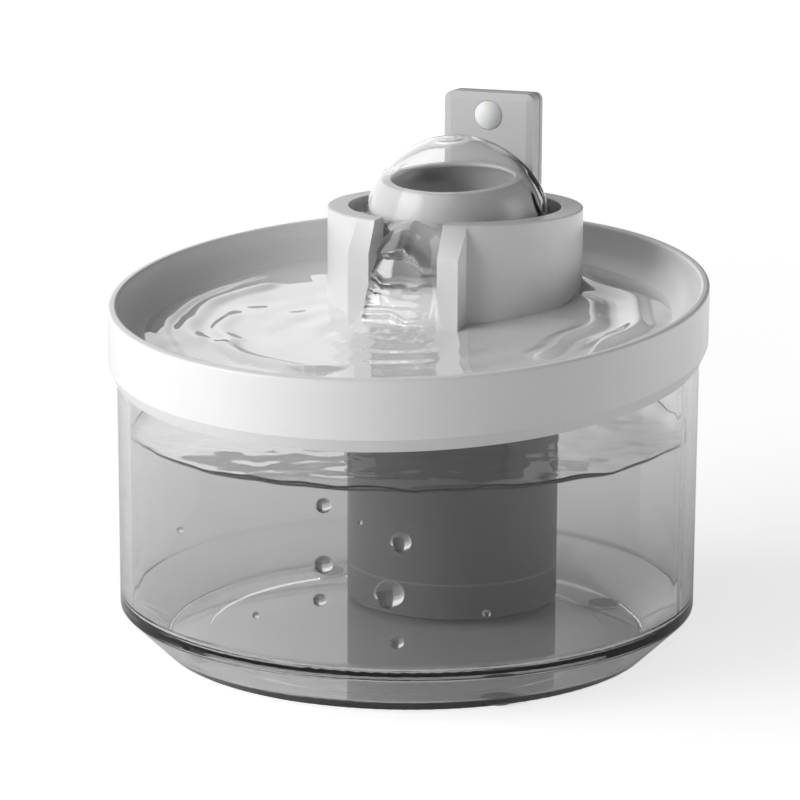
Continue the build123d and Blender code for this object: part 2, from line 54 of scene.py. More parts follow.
# sizes that the water pieces share, in millimetres
fit = {
    "slope": 0.1086,        # the tray falls this much for each millimetre towards -Y
    "room": 0.12,           # between water and what holds it
    "tankWall": 4.0,
    "tankFloor": 5.0,
    "tankCorner": 17.6,     # inside, where wall and tapered foot meet
    "footInside": 78.4,
    "bowlDepth": 12.0,      # rim plane down to the bowl's floor
    "wallCentre": (82.34, -0.48),   # the bowl's wall is an arc: its middle (radius, depth)
    "wallRound": 12.67,             # and its radius
    "collarWall": 7.4,
    "spoutGap": 24.0,
    "jambWidth": 7.3,
    "ballHeight": 15.4,     # ball's middle above the cup's floor
    "ballWall": 3.6,
}

# the rest of the sizes comes from the solids' boxes
tankInside = boxInMm("tank")[1].x - fit["tankWall"]
trayHigh = boxInMm("drinking_tray")[1]
rimHeight = trayHigh.z - fit["slope"] * trayHigh.x
collarLow, collarHigh = boxInMm("flow_collar")
collarRadius = collarHigh.x
collarBack = collarHigh.y - collarRadius
collarBore = collarRadius - fit["collarWall"]
collarTop = collarHigh.z
jambFront = collarLow.y
spoutHalf = fit["spoutGap"] / 2
nozzleLow, nozzleHigh = boxInMm("nozzle_cap")
cupFloor = nozzleLow.z
ballRadius = nozzleHigh.x
ballMiddle = cupFloor + fit["ballHeight"]
towerRadius = boxInMm("tower_shell")[1].x
waterRadius = tankInside - fit["room"]


# helpers for node trees; a value goes to a socket by its name or number

def addNode(tree, kind, values=None, operation=None):
    node = tree.nodes.new(kind)
    if operation:
        node.operation = operation
    for socket, value in (values or {}).items():
        node.inputs[socket].default_value = value
    return node


def addMath(tree, operation, values=None):
    return addNode(tree, "ShaderNodeMath", values, operation)


def addVectorMath(tree, operation, values=None):
    return addNode(tree, "ShaderNodeVectorMath", values, operation)


def wire(tree, *pairs):
    for start, end in pairs:
        tree.links.new(start, end)


def mixColors(tree, factor, first, second):
    # a Mix node takes two colours at its inputs 6 and 7, and their mix is output 2
    node = addNode(tree, "ShaderNodeMix")
    node.data_type = "RGBA"
    wire(tree, (factor, node.inputs["Factor"]), (first, node.inputs[6]), (second, node.inputs[7]))
    return node.outputs[2]


def tidyTree(tree):
    # spread the nodes out in columns, so that the tree can be read
    for i, node in enumerate(tree.nodes):
        node.location = (260 * (i % 6) - 900, 320 - 300 * (i // 6))


def makeGroup(name, inputs, outputs):
    group = bpy.data.node_groups.new(name, "ShaderNodeTree")
    for label, kind, value in inputs:
        socket = group.interface.new_socket(label, in_out="INPUT", socket_type="NodeSocket" + kind)
        socket.default_value = value
    for label, kind in outputs:
        group.interface.new_socket(label, in_out="OUTPUT", socket_type="NodeSocket" + kind)
    return group, group.nodes.new("NodeGroupInput"), group.nodes.new("NodeGroupOutput")


def placeGroup(tree, group, values):
    node = tree.nodes.new("ShaderNodeGroup")
    node.node_tree = group
    for label, value in values.items():
        node.inputs[label].default_value = value
    return node


def mouldGrainGroup():
    # fine pitted skin of a moulded part over a slow swell
    group, start, end = makeGroup(
        "mouldGrain",
        [("Grain Size", "Float", 900.0), ("Swell Size", "Float", 30.0), ("Swell Share", "Float", 0.3)],
        [("Height", "Float"), ("Tone", "Float")])
    coords = addNode(group, "ShaderNodeTexCoord")
    fine = addNode(group, "ShaderNodeTexNoise", {"Detail": 3.0, "Roughness": 0.6})
    swell = addNode(group, "ShaderNodeTexNoise", {"Detail": 2.0, "Roughness": 0.45})
    mix = addNode(group, "ShaderNodeMix")
    wire(group,
         (coords.outputs["Object"], fine.inputs["Vector"]),
         (coords.outputs["Object"], swell.inputs["Vector"]),
         (start.outputs["Grain Size"], fine.inputs["Scale"]),
         (start.outputs["Swell Size"], swell.inputs["Scale"]),
         (start.outputs["Swell Share"], mix.inputs["Factor"]),
         (fine.outputs["Fac"], mix.inputs["A"]),
         (swell.outputs["Fac"], mix.inputs["B"]),
         (mix.outputs["Result"], end.inputs["Height"]),
         (swell.outputs["Fac"], end.inputs["Tone"]))
    tidyTree(group)
    return group


def toneDriftGroup():
    # slight change of colour and gloss over a surface, and paler edges: rubbed edges on most parts, and a
    # painted edge highlight where that share is turned full up, as on the tower
    group, start, end = makeGroup(
        "toneDrift",
        [("Color", "Color", (0.8, 0.8, 0.8, 1)), ("Shade", "Color", (0.7, 0.7, 0.7, 1)),
         ("Edge", "Color", (0.9, 0.9, 0.9, 1)), ("Tone", "Float", 0.5), ("Drift", "Float", 0.3),
         ("Wear And Highlight", "Float", 0.3), ("Edge Width", "Float", 0.0006),
         ("Gloss Low", "Float", 0.25), ("Gloss High", "Float", 0.4)],
        [("Color", "Color"), ("Roughness", "Float")])
    spread = addMath(group, "MULTIPLY")
    bevel = addNode(group, "ShaderNodeBevel")
    bevel.samples = 4
    surface = addNode(group, "ShaderNodeNewGeometry")
    bend = addVectorMath(group, "DOT_PRODUCT")      # 1 on the flat, less where the surface bends
    edge = addNode(group, "ShaderNodeMapRange",
                   {"From Min": 0.995, "From Max": 0.90, "To Min": 0.0, "To Max": 1.0})
    # share of the paler edge colour: rubbed edges on most parts, a painted edge highlight on the tower
    edgeWearAndHighlight = addMath(group, "MULTIPLY")
    gloss = addNode(group, "ShaderNodeMapRange")
    wire(group,
         (start.outputs["Tone"], spread.inputs[0]), (start.outputs["Drift"], spread.inputs[1]),
         (start.outputs["Edge Width"], bevel.inputs["Radius"]),
         (bevel.outputs["Normal"], bend.inputs[0]), (surface.outputs["Normal"], bend.inputs[1]),
         (bend.outputs["Value"], edge.inputs["Value"]),
         (edge.outputs["Result"], edgeWearAndHighlight.inputs[0]), (start.outputs["Wear And Highlight"], edgeWearAndHighlight.inputs[1]))
    base = mixColors(group, spread.outputs[0], start.outputs["Color"], start.outputs["Shade"])
    painted = mixColors(group, edgeWearAndHighlight.outputs[0], base, start.outputs["Edge"])
    wire(group,
         (painted, end.inputs["Color"]),
         (start.outputs["Tone"], gloss.inputs["Value"]),
         (start.outputs["Gloss Low"], gloss.inputs["To Min"]),
         (start.outputs["Gloss High"], gloss.inputs["To Max"]),
         (gloss.outputs["Result"], end.inputs["Roughness"]))
    tidyTree(group)
    return group


def rippleGroup():
    # height of small waves on clear water or clear plastic
    group, start, end = makeGroup(
        "ripple", [("Wave Size", "Float", 60.0), ("Flow Stretch", "Float", 1.0)], [("Height", "Float")])
    coords = addNode(group, "ShaderNodeTexCoord")
    stretch = addNode(group, "ShaderNodeCombineXYZ", {"X": 1.0, "Y": 1.0})
    scaled = addVectorMath(group, "MULTIPLY")
    waves = addNode(group, "ShaderNodeTexNoise", {"Detail": 1.5, "Roughness": 0.4, "Distortion": 0.6})
    wire(group,
         (start.outputs["Flow Stretch"], stretch.inputs["Z"]),
         (coords.outputs["Object"], scaled.inputs[0]), (stretch.outputs[0], scaled.inputs[1]),
         (scaled.outputs[0], waves.inputs["Vector"]),
         (start.outputs["Wave Size"], waves.inputs["Scale"]),
         (waves.outputs["Fac"], end.inputs["Height"]))
    tidyTree(group)
    return group


mouldGrain = mouldGrainGroup()
toneDrift = toneDriftGroup()
ripple = rippleGroup()
print("shader groups ready")


def newMaterial(name, values):
    # a material with its Principled shader set
    material = bpy.data.materials.new(name)
    material.use_nodes = True
    tree = material.node_tree
    shader = tree.nodes["Principled BSDF"]
    for label, value in values.items():
        shader.inputs[label].default_value = value
    return material, tree, shader


def grey(value):
    return (value, value, value, 1.0)


def moulded(name, look):
    # finish of a moulded, cast or cut solid
    material, tree, shader = newMaterial(name, {
        "Metallic": look["metallic"], "IOR": look["ior"],
        "Coat Weight": look["coat"], "Coat Roughness": look["coatRough"],
        "Subsurface Weight": look["soft"], "Subsurface Scale": look["softDepth"]})
    grain = placeGroup(tree, mouldGrain, {
        "Grain Size": look["grainSize"], "Swell Size": look["swellSize"],
        "Swell Share": look["swellShare"]})
    drift = placeGroup(tree, toneDrift, {
        "Color": look["color"], "Shade": look["shade"], "Edge": look["edge"], "Drift": look["drift"],
        "Wear And Highlight": look["wearAndHighlight"], "Edge Width": look["edgeWidth"],
        "Gloss Low": look["gloss"][0], "Gloss High": look["gloss"][1]})
    bump = addNode(tree, "ShaderNodeBump", {"Strength": look["bump"], "Distance": look["bumpDepth"]})
    wire(tree,
         (grain.outputs["Tone"], drift.inputs["Tone"]),
         (drift.outputs["Color"], shader.inputs["Base Color"]),
         (drift.outputs["Roughness"], shader.inputs["Roughness"]),
         (grain.outputs["Height"], bump.inputs["Height"]),
         (bump.outputs["Normal"], shader.inputs["Normal"]))
    tidyTree(tree)
    return material


# colour, its shade and the colour of the paler edges (rubbed on most parts, a painted highlight on the
# tower); gloss is the lowest and the highest roughness
plain = {"grainSize": 1400.0, "swellSize": 25.0, "swellShare": 0.35, "drift": 0.5, "wearAndHighlight": 0.35,
         "edgeWidth": 0.0006, "bump": 0.12, "bumpDepth": 0.0002, "metallic": 0.0, "ior": 1.46,
         "coat": 0.0, "coatRough": 0.1, "soft": 0.0, "softDepth": 0.002}
trayLook = {**plain, "color": grey(0.82), "shade": grey(0.78), "edge": grey(0.9),
            "gloss": (0.30, 0.42), "coat": 0.8, "coatRough": 0.2}
collarLook = {**plain, "color": grey(0.78), "shade": grey(0.72), "edge": grey(0.88),
              "gloss": (0.26, 0.36), "coat": 0.3, "coatRough": 0.2}
# the nozzle's white plastic gets a darker grey than the collar and tray: painted shade for the dimmer
# light round the nozzle
nozzleLook = {**plain, "color": grey(0.54), "shade": grey(0.5), "edge": grey(0.66),
              "gloss": (0.24, 0.32), "coat": 0.6, "coatRough": 0.26, "bump": 0.05}
postLook = {**plain, "color": grey(0.64), "shade": grey(0.58), "edge": grey(0.8),
            "gloss": (0.34, 0.48), "bump": 0.25, "grainSize": 1900.0}
# on the tower the paler edges are turned full up into a painted highlight along its edges
towerLook = {**plain, "color": grey(0.16), "shade": grey(0.14), "edge": grey(0.3), "wearAndHighlight": 1.0,
             "edgeWidth": 0.0008, "gloss": (0.38, 0.5), "bump": 0.18}
pumpLook = {**plain, "color": grey(0.22), "shade": grey(0.18), "edge": grey(0.2),
            "gloss": (0.35, 0.5)}
motorLook = {**pumpLook, "color": grey(0.10), "shade": grey(0.07)}
cartridgeLook = {**plain, "color": grey(0.74), "shade": grey(0.68), "edge": grey(0.82),
                 "gloss": (0.4, 0.5)}
foamLook = {**plain, "color": grey(0.07), "shade": grey(0.02), "edge": grey(0.1), "drift": 0.9,
            "gloss": (0.85, 0.95), "bump": 1.0, "bumpDepth": 0.0012, "grainSize": 620.0,
            "swellSize": 700.0}
carbonLook = {**foamLook, "color": grey(0.03), "shade": grey(0.01), "grainSize": 380.0,
              "swellSize": 420.0, "gloss": (0.5, 0.8)}
siliconeLook = {**plain, "color": grey(0.28), "shade": grey(0.24), "edge": grey(0.34),
                "gloss": (0.5, 0.65), "soft": 0.2, "ior": 1.41}
leadLook = {**plain, "color": grey(0.03), "shade": grey(0.02), "edge": grey(0.06),
            "gloss": (0.45, 0.6), "grainSize": 2600.0}
lensLook = {**plain, "color": grey(0.92), "shade": grey(0.9), "edge": grey(0.95),
            "gloss": (0.2, 0.28), "soft": 0.5, "bump": 0.04}
boardLook = {**plain, "color": (0.02, 0.11, 0.05, 1), "shade": (0.015, 0.085, 0.04, 1),
             "edge": (0.10, 0.12, 0.06, 1), "gloss": (0.25, 0.35)}
magnetLook = {**plain, "color": grey(0.05), "shade": grey(0.035), "edge": grey(0.12),
              "gloss": (0.5, 0.7), "bump": 0.5}
ceramicLook = {**plain, "color": grey(0.86), "shade": grey(0.8), "edge": grey(0.9),
               "gloss": (0.12, 0.2)}
steelLook = {**plain, "color": grey(0.58), "shade": grey(0.5), "edge": grey(0.75),
             "gloss": (0.22, 0.35), "metallic": 1.0, "bump": 0.2, "grainSize": 2600.0}

finishes = {
    "tray_white": moulded("trayPlastic", trayLook),
    "collar_white": moulded("collarPlastic", collarLook),
    "nozzle_white": moulded("nozzlePlastic", nozzleLook),
    "post_grey": moulded("postPlastic", postLook),
    "tower_grey": moulded("towerPlastic", towerLook),
    "pump_grey": moulded("pumpPlastic", pumpLook),
    "motor_dark": moulded("pottedResin", motorLook),
    "cartridge_white": moulded("cartridgePlastic", cartridgeLook),
    "carbon": moulded("carbonGrains", carbonLook),
    "foam": moulded("foamPores", foamLook),
    "silicone": moulded("siliconeRubber", siliconeLook),
    "lead_dark": moulded("leadSheath", leadLook),
    "lens_white": moulded("lensDiffuser", lensLook),
    "board": moulded("boardMask", boardLook),
    "magnet": moulded("rotorFerrite", magnetLook),
    "ceramic": moulded("shaftCeramic", ceramicLook),
    "steel": moulded("screwSteel", steelLook),
}


def clear(name, look):
    # clear plastic or water, whose shadow lets the light through
    material, tree, shader = newMaterial(name, {
        "Base Color": look["color"], "Roughness": look["rough"], "IOR": look["ior"],
        "Transmission Weight": 1.0, "Coat Weight": look["coat"],
        "Coat Roughness": look["rough"], "Coat IOR": look["coatIor"]})
    waves = placeGroup(tree, ripple, {"Wave Size": look["waveSize"], "Flow Stretch": look["stretch"]})
    bump = addNode(tree, "ShaderNodeBump", {"Strength": look["bump"], "Distance": look["bumpDepth"]})
    through = addNode(tree, "ShaderNodeBsdfTransparent", {"Color": look["shadow"]})
    path = addNode(tree, "ShaderNodeLightPath")
    mix = addNode(tree, "ShaderNodeMixShader")
    output = tree.nodes["Material Output"]
    wire(tree,
         (waves.outputs["Height"], bump.inputs["Height"]),
         (bump.outputs["Normal"], shader.inputs["Normal"]),
         (path.outputs["Is Shadow Ray"], mix.inputs["Fac"]),
         (shader.outputs[0], mix.inputs[1]), (through.outputs[0], mix.inputs[2]),
         (mix.outputs[0], output.inputs["Surface"]))
    if look["absorb"]:
        murk = addNode(tree, "ShaderNodeVolumeAbsorption",
                       {"Color": look["murk"], "Density": look["absorb"]})
        wire(tree, (murk.outputs[0], output.inputs["Volume"]))
    tidyTree(tree)
    return material


clearPlain = {"color": grey(0.97), "rough": 0.0, "ior": 1.33, "shadow": grey(0.94), "waveSize": 60.0,
              "stretch": 1.0, "bump": 0.1, "bumpDepth": 0.0005, "absorb": 0.0, "murk": grey(0.4),
              "coat": 0.0, "coatIor": 1.5}
tankLook = {**clearPlain, "color": grey(0.95), "ior": 1.46, "shadow": grey(0.86),
            "waveSize": 14.0, "bump": 0.04}
storedLook = {**clearPlain, "color": grey(1.0), "ior": 1.0, "absorb": 1.5, "bump": 0.0}
surfaceLook = {**clearPlain, "waveSize": 70.0, "bump": 0.15}
poolLook = {**clearPlain, "waveSize": 45.0, "bump": 0.04, "coat": 1.0, "coatIor": 2.3}
mouthLook = {**clearPlain, "waveSize": 90.0, "bump": 0.1, "coat": 1.0, "coatIor": 2.0}
domeLook = {**clearPlain, "waveSize": 90.0, "stretch": 0.3, "bump": 0.1, "shadow": grey(0.98)}
bubbleLook = {**clearPlain, "ior": 1.12, "bump": 0.0}

finishes["tank_clear"] = clear("tankClear", tankLook)
storedFinish = clear("storedWater", storedLook)
surfaceFinish = clear("surfaceWater", surfaceLook)
poolFinish = clear("poolWater", poolLook)
domeFinish = clear("domeWater", domeLook)
mouthFinish = clear("mouthWater", mouthLook)
bubbleFinish = clear("airBubble", bubbleLook)

slotOf = {part["node"]: part["material_slot"] for part in frame["record"]["subparts"]}
for name, node in nodes.items():
    node.data.materials.clear()
    node.data.materials.append(finishes[slotOf[name]])
print("finishes on", len(nodes), "nodes")


# helpers for meshes

def makePiece(name, points, faces, material, body, smooth=True):
    # points in millimetres
    mesh = bpy.data.meshes.new(name)
    mesh.from_pydata([Vector(point) * mm for point in points], [], faces)
    build = bmesh.new()
    build.from_mesh(mesh)
    bmesh.ops.remove_doubles(build, verts=build.verts, dist=1e-6)
    bmesh.ops.recalc_face_normals(build, faces=build.faces)
    for face in build.faces:
        face.smooth = smooth
    build.to_mesh(mesh)
    build.free()
    piece = bpy.data.objects.new(name, mesh)
    bpy.context.scene.collection.objects.link(piece)
    piece.data.materials.append(material)
    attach(piece, body)


def ringFaces(rows, columns, looped=False):
    # quads between rows of points, each row once round
    faces = []
    for row in range(rows if looped else rows - 1):
        below = ((row + 1) % rows) * columns
        for i in range(columns):
            j = (i + 1) % columns
            faces.append((row * columns + i, row * columns + j, below + j, below + i))
    return faces


def endFaces(rows, columns):
    # one face over the first row and one over the last
    return [tuple(range(columns)), tuple(range((rows - 1) * columns, rows * columns))]


def roundTurns(columns):
    return [2 * math.pi * i / columns for i in range(columns)]


def wave(x, y, seed, size):
    return noise.noise(Vector((x / size, y / size, seed)))


def roundWave(turn, count, seed):
    # waves along a circle that meet where it closes
    return noise.noise(Vector((count * math.cos(turn), count * math.sin(turn), seed)))


def easeShare(value):
    # held between 0 and 1, with both ends eased
    value = max(0.0, min(1.0, value))
    return value * value * (3 - 2 * value)


def crestShare(off, ahead, behind):
    # 1 on a roll's crest, down to 0 this far ahead of it or behind it
    return easeShare(1 - off / ahead if off > 0 else 1 + off / behind)


def along(profile, y, eased=0.35):
    # height at this y on a profile whose y falls, partly eased at its points
    if y >= profile[0][0]:
        return profile[0][1]
    for (y0, z0), (y1, z1) in zip(profile, profile[1:]):
        if y >= y1:
            share = (y0 - y) / (y0 - y1)
            return z0 + (z1 - z0) * ((1 - eased) * share + eased * easeShare(share))
    return profile[-1][1]


def planeHeight(y, depth):
    # height of the plane that lies this deep under the tray's rim
    return rimHeight - depth + fit["slope"] * y


def bowlWall(depth):
    # radius of the bowl's wall this deep under the rim
    middle, low = fit["wallCentre"]
    return middle + math.sqrt(max(0.0, fit["wallRound"] ** 2 - (depth - low) ** 2))


def collarPoint(turn, reach):
    # from the collar's axis
    return reach * math.cos(turn), collarBack + reach * math.sin(turn)


def reachOut(turn, radius):
    # distance from the collar's axis to a circle round the tank's axis
    across = collarBack * math.cos(turn)
    return -collarBack * math.sin(turn) + math.sqrt(radius ** 2 - across ** 2)


# sloping shoulders on both sides of the spout, from the jamb's front up to the ring's edge
shoulders = {"drop": 10.4, "inset": 0.02, "deep": 1.2, "edge": 0.3, "columns": 12}


def makeShoulder(name, side, look):
    points = []
    low, high = collarTop - look["drop"], collarTop - look["edge"]
    for i in range(look["columns"] + 1):
        x = spoutHalf + look["inset"] + (fit["jambWidth"] - 2 * look["inset"]) * i / look["columns"]
        ringFront = collarBack - math.sqrt(collarRadius ** 2 - x ** 2)
        points += [(side * x, jambFront + look["inset"], low),
                   (side * x, ringFront + look["edge"], high),
                   (side * x, ringFront + look["deep"], high - 2 * look["deep"]),
                   (side * x, jambFront + look["deep"], low - look["deep"])]
    rows = look["columns"] + 1
    faces = ringFaces(rows, 4) + endFaces(rows, 4)
    makePiece(name, points, faces, finishes["collar_white"], "tray", smooth=False)


makeShoulder("shoulderLeft", -1, shoulders)
makeShoulder("shoulderRight", 1, shoulders)
print("shoulders ready")


# stored water: its body, and the thin surface that mirrors the underside of the tray
tankWater = {
    "level": 72.0, "columns": 240, "rings": 56,
    "swell": 0.6, "broadWave": 24, "smallWave": 8, "smallShare": 0.4,
    "climb": 2.8, "climbReach": 2.8,        # rise at the tank's wall, and how soon it fades inwards
    "ragged": 0.8, "raggedCount": 5, "fineShare": 0.2, "fineCount": 13,     # how uneven that rise is
    "skin": 0.6, "skinGap": 0.1,            # thickness of the surface, and the body's top below it
    "hub": 1.0, "towerRoom": 0.3,           # innermost ring of the body, and the surface's gap
    "cornerAbove": 1.3, "cornerBelow": 0.9,
    "crowding": 1.6,                        # of the surface's rows towards the wall
}


def levelAt(x, y, look):
    # height of the surface, which climbs raggedly at the tank's wall
    turn = math.atan2(y, x)
    ragged = 1 + look["ragged"] * roundWave(turn, look["raggedCount"], 2.0)
    ragged += look["fineShare"] * look["ragged"] * roundWave(turn, look["fineCount"], 7.0)
    climb = look["climb"] * ragged * math.exp(-(waterRadius - math.hypot(x, y)) / look["climbReach"])
    swell = wave(x, y, 0.3, look["broadWave"]) + look["smallShare"] * wave(x, y, 4.0, look["smallWave"])
    return look["level"] + look["swell"] * swell + climb


def makeTankBody(look):
    hub, rings = look["hub"], look["rings"]
    low, corner = fit["tankFloor"] + fit["room"], fit["tankCorner"]
    turns = roundTurns(look["columns"])
    points = []
    for ring in range(rings + 1):
        radius = hub + (waterRadius - hub) * ring / rings
        for turn in turns:
            x, y = radius * math.cos(turn), radius * math.sin(turn)
            points.append((x, y, levelAt(x, y, look) - look["skin"] - look["skinGap"]))
    below = [(waterRadius, corner + look["cornerAbove"]),
             (waterRadius - look["cornerBelow"], corner - look["cornerBelow"]),
             (fit["footInside"], low), (hub, low)]
    for radius, z in below:
        points += [(radius * math.cos(turn), radius * math.sin(turn), z) for turn in turns]
    rows = rings + 1 + len(below)
    faces = ringFaces(rows, len(turns)) + endFaces(rows, len(turns))
    makePiece("tankWater", points, faces, storedFinish, "tank")


def makeTankTop(look):
    # closed sheet from the tower to the tank's wall: over the top, and back underneath
    near, rings = towerRadius + look["towerRoom"], look["rings"]
    turns = roundTurns(look["columns"])
    points = []
    for under in (False, True):
        for ring in range(rings + 1):
            share = ring / rings
            share = 1 - share if under else share
            share = 1 - (1 - share) ** look["crowding"]
            for turn in turns:
                x, y = collarPoint(turn, near + (reachOut(turn, waterRadius) - near) * share)
                z = levelAt(x, y, look)
                points.append((x, y, z - look["skin"] if under else z))
    faces = ringFaces(2 * (rings + 1), len(turns), looped=True)
    makePiece("tankSurface", points, faces, surfaceFinish, "tank")


makeTankBody(tankWater)
makeTankTop(tankWater)

# bubbles on the inside of the tank's wall: (angle round the tank, height, radius)
bubbles = [(-68.7, 56.5, 3.2), (-71.0, 39.8, 4.6), (-84.0, 48.6, 2.9), (-83.9, 67.2, 2.4),
           (-84.6, 37.6, 2.1), (-69.4, 25.6, 2.3), (-98.0, 30.5, 1.1), (-52.0, 34.0, 1.3),
           (-76.5, 63.0, 0.9), (-118.0, 52.0, 1.0)]
bubbleShell = {"hollow": 0.9, "flat": 0.97, "segments": 32, "rings": 20}


def makeBubble(name, turn, height, radius, look):
    # a thin clear shell, so that what lies behind shows nearly undistorted
    reach = tankInside - radius - 2 * fit["room"]
    x, y = reach * math.cos(turn), reach * math.sin(turn)
    rings, segments = look["rings"], look["segments"]
    points, faces = [], []
    for size in (radius, radius * look["hollow"]):
        first = len(points)
        for ring in range(rings + 1):       # the points of the first and the last ring meet
            down = math.pi * ring / rings
            wide, high = size * math.sin(down), size * math.cos(down) * look["flat"]
            points += [(x + wide * math.cos(around), y + wide * math.sin(around), height + high)
                       for around in roundTurns(segments)]
        faces += [[first + corner for corner in face] for face in ringFaces(rings + 1, segments)]
    makePiece(name, points, faces, bubbleFinish, "tank")


for index, (turn, height, radius) in enumerate(bubbles):
    makeBubble(f"bubble{index}", math.radians(turn), height, radius, bubbleShell)
print("tank water ready")


# running water in one piece: cup round the nozzle, stream between the jambs, and pool

# surface of the stream, (y, height): down its middle, and along the jambs
middleFall = [(15, 137.6), (10, 139.6), (4, 139.9), (0, 137.4), (-4, 131.6), (-8, 122.5),
              (-11, 113.8), (-14, 107.8), (-20, 105.8), (-34, 103.4)]
sideFall = [(15, 137.0), (10, 135.4), (7.6, 130.6), (3.6, 125.4), (-2, 120.9), (-6, 117.4),
            (-10, 111.0), (-14, 106.8), (-20, 105.3), (-34, 103.4)]
# rolls across the stream: crest (x, height), how far it stands out, and its reach above and below
fallRolls = [
    {"crest": [(-12, 128.4), (-5.5, 129.3), (0.7, 130.0), (3.6, 127.7), (8.2, 125.3), (12, 125.2)],
     "push": 2.1, "above": 8.0, "below": 0.5},
    {"crest": [(-12, 122.4), (-8.6, 121.7), (-5.2, 119.8), (0.7, 120.5), (6, 120.2), (12, 121.3)],
     "push": 0.9, "above": 2.6, "below": 0.6},
    {"crest": [(-12, 118.9), (-5.9, 117.8), (1, 118.3), (5.1, 119.2), (12, 119.3)],
     "push": 0.7, "above": 1.2, "below": 0.5},
    {"crest": [(-12, 116.4), (-6.3, 115.6), (1.3, 116.5), (12, 116.8)],
     "push": 0.5, "above": 1.3, "below": 0.9},
    {"crest": [(-12, 113.3), (-5.4, 113.8), (5.1, 114.0), (12, 113.3)],
     "push": 0.7, "above": 1.6, "below": 0.7},
    {"crest": [(-12, 110.4), (-1.3, 111.1), (4.4, 109.1), (9.5, 109.8), (12, 112.2)],
     "push": 0.9, "above": 2.2, "below": 0.6},
    {"crest": [(-12, 107.6), (1.6, 107.5), (7.1, 108.1), (12, 108.9)],
     "push": 0.5, "above": 1.0, "below": 1.0}]
# rolls along the bowl's wall: the turns they reach over, from the drinking edge towards +X, their
# distance from the wall at both ends, height, width of the outer and the inner side, and waver
poolRolls = [
    {"turns": (-56, 2), "room": (20, 34), "height": 1.8, "outer": 1.3, "inner": 7.0, "waver": 1.3},
    {"turns": (-125, -42), "room": (6, 7), "height": 0.7, "outer": 3.6, "inner": 4.5, "waver": 1.0},
    {"turns": (-120, -50), "room": (15, 15), "height": 0.9, "outer": 3.6, "inner": 7.0, "waver": 2.0},
    {"turns": (-88, -46), "room": (28, 23), "height": 0.7, "outer": 2.6, "inner": 7.0, "waver": 2.2},
    {"turns": (70, 165), "room": (14, 12), "height": 1.7, "outer": 5.0, "inner": 7.5, "waver": 2.6},
    {"turns": (62, 150), "room": (29, 27), "height": 1.4, "outer": 6.0, "inner": 7.5, "waver": 2.4}]
trayWater = {
    "columns": 440, "gather": 0.6,              # directions, and how closely they crowd at the spout
    "cupRows": 8, "fallRows": 84, "poolRows": 64,
    "fallFrom": 32.5, "fallTo": 58.0, "fallFade": 40.0,     # reach of the stream's rows
    "cupLevel": 137.0, "cupWave": 0.35, "cupWaveSize": 8.0,
    "poolDepth": 11.35, "leastDepth": 0.2, "edgeSwell": 0.5, "edgeCount": 2.6, "edgeReach": 9.0,
    "edgeRise": 1.0,                            # most that the ragged water line rises
    "poolSwell": 0.62, "broadWave": 36.0, "broadShort": 1.5,       # waves are shorter along Y
    "smallShare": 0.55, "smallWave": 15.0, "smallShort": 1.4,
    "ringWave": 0.45, "ringLength": 11.0, "ringReach": 20.0, "ringMiddle": -13.0, "ringNarrow": 0.8,
    "rollFade": 9.0, "swayCounts": (5.5, 13.0), "fineSway": 0.5,    # ends and waver of its rolls
    "streak": 0.45, "streakSize": 3.6, "streakNarrow": 1.1, "streakLong": 0.25,     # down the stream
    "streakFrom": 12.0, "streakFade": 8.0, "fineStreak": 0.6, "fineSize": 4.2,
    "stepInset": 0.7,                           # of the step from cup to pool, in the collar's wall
    "fanPast": 2.2, "fanSpread": 0.5, "fanSoft": 2.0, "fanSofter": 0.7,     # sides of the stream
    "headFrom": 16.0, "headFade": 3.0, "footEnd": 34.0, "footFade": 14.0,   # and its two ends
    "pushOut": 0.85, "pushUp": 0.45,            # shares of a roll's push, forward and up
    "pushClear": 2.0, "jambClear": 0.1, "jambFade": 1.5,    # where it fades: over the pool, at the jambs
    "sunk": 0.3, "inCollar": 1.0, "inBall": 0.2, "inWall": 0.5,     # hidden edges, in the solids
    "ballSteps": (-11, -6, -1, 3),              # heights of the last rows, from the ball's middle
}


def edgeDepth(x, y, look):
    # ragged water line along the bowl's wall
    return look["poolDepth"] + look["edgeSwell"] * roundWave(math.atan2(y, x), look["edgeCount"], 6.0)


def poolRollHeight(x, y, room, look):
    # long wavy rolls that run along the bowl's wall, steeper on their outer side
    turn = math.degrees(math.atan2(x, -y))
    slow, fine = look["swayCounts"]
    sway = math.sin(math.radians(slow * turn)) + look["fineSway"] * math.sin(math.radians(fine * turn) + 1)
    height = 0.0
    for roll in poolRolls:
        start, end = roll["turns"]
        near, far = roll["room"]
        off = room - near - (far - near) * (turn - start) / (end - start) - roll["waver"] * sway
        ends = easeShare((turn - start) / look["rollFade"]) * easeShare((end - turn) / look["rollFade"])
        height += roll["height"] * crestShare(off, roll["inner"], roll["outer"]) * ends
    return height


def poolTop(x, y, look):
    # waves, rings that spread from the foot of the stream, and rolls along the wall
    swell = wave(x, y * look["broadShort"], 1.7, look["broadWave"])
    swell += look["smallShare"] * wave(x, y * look["smallShort"], 8.1, look["smallWave"])
    foot = math.hypot(x * look["ringNarrow"], y - look["ringMiddle"])
    rings = math.cos(2 * math.pi * foot / look["ringLength"]) * math.exp(-foot / look["ringReach"])
    room = bowlWall(look["poolDepth"]) - math.hypot(x, y)
    near = easeShare(room / look["edgeReach"])
    height = look["poolSwell"] * swell + look["ringWave"] * rings + poolRollHeight(x, y, room, look)
    depth = edgeDepth(x, y, look) * (1 - near) + look["poolDepth"] * near
    least = planeHeight(y, fit["bowlDepth"]) + look["leastDepth"]
    return max(planeHeight(y, depth) + height * near, least)


def fallPush(x, z, look):
    # how far the rolls push the stream out at this place
    push = 0.0
    for roll in fallRolls:
        crest = along([(-px, pz) for px, pz in roll["crest"]], -x)
        push += roll["push"] * crestShare(z - crest, roll["above"], roll["below"])
    return push * easeShare((spoutHalf - look["jambClear"] - abs(x)) / look["jambFade"])


